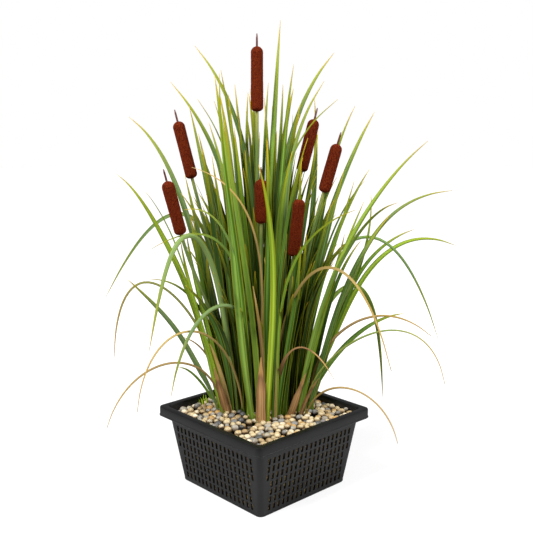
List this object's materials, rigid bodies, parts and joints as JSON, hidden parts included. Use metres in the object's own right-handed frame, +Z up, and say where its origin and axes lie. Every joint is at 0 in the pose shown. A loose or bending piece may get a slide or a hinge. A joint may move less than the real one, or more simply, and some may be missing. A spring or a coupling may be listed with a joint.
{
  "type": "potted cattail",
  "caption": "Cattail clump with brown velvety seed spikes on tall stems, long strap leaves and dry sheaths, planted in pea gravel in a square slotted pond basket.",
  "frame": {"origin": "centre of the basket's flat underside", "axes": "+Z up along the plant; the basket's sides run along X and Y; the plant's best side faces -X -Y"},
  "size_m": [0.6629, 0.6149, 0.8551],
  "materials": {
    "basket_plastic": "satin black moulded",
    "soil": "matt earth and coir",
    "pea_gravel": "water-rounded stone, dry",
    "green_stem": "smooth green stem",
    "seed_velvet": "dense velvety seed",
    "dark_blade": "waxy leaf",
    "light_blade": "waxy leaf",
    "straw": "dry papery leaf",
    "dry_sheath": "dry papery sheath"
  },
  "bodies": {
    "root": {"pond_basket": "basket_plastic", "soil": "soil", "gravel_bed": "pea_gravel", "stem_1": "green_stem", "stem_2": "green_stem", "stem_3": "green_stem", "stem_4": "green_stem", "stem_5": "green_stem", "stem_6": "green_stem", "stem_7": "green_stem", "spike_1": "seed_velvet", "spike_2": "seed_velvet", "spike_3": "seed_velvet", "spike_4": "seed_velvet", "spike_5": "seed_velvet", "spike_6": "seed_velvet", "spike_7": "seed_velvet", "tall_leaf_1": "dark_blade", "tall_leaf_2": "dark_blade", "tall_leaf_3": "dark_blade", "tall_leaf_4": "dark_blade", "tall_leaf_5": "dark_blade", "tall_leaf_6": "dark_blade", "tall_leaf_7": "dark_blade", "tall_leaf_8": "dark_blade", "tall_leaf_9": "dark_blade", "tall_leaf_10": "dark_blade", "tall_leaf_11": "dark_blade", "tall_leaf_12": "dark_blade", "tall_leaf_13": "dark_blade", "arching_leaf_1": "light_blade", "arching_leaf_2": "light_blade", "arching_leaf_3": "light_blade", "arching_leaf_4": "light_blade", "arching_leaf_5": "light_blade", "arching_leaf_6": "light_blade", "arching_leaf_7": "light_blade", "arching_leaf_8": "light_blade", "arching_leaf_9": "light_blade", "arching_leaf_10": "light_blade", "arching_leaf_11": "light_blade", "arching_leaf_12": "light_blade", "arching_leaf_13": "light_blade", "arching_leaf_14": "light_blade", "dry_leaf_1": "straw", "dry_leaf_2": "straw", "dry_leaf_3": "straw", "dry_leaf_4": "straw", "dry_leaf_5": "straw", "dry_leaf_6": "straw", "dry_leaf_7": "straw", "dry_sheath_1": "dry_sheath", "dry_sheath_2": "dry_sheath", "dry_sheath_3": "dry_sheath", "dry_sheath_4": "dry_sheath", "dry_sheath_5": "dry_sheath", "leaf_tuft_1": "dark_blade", "leaf_tuft_2": "dark_blade", "leaf_tuft_3": "dark_blade", "leaf_tuft_4": "dark_blade"}
  },
  "joints": []
}
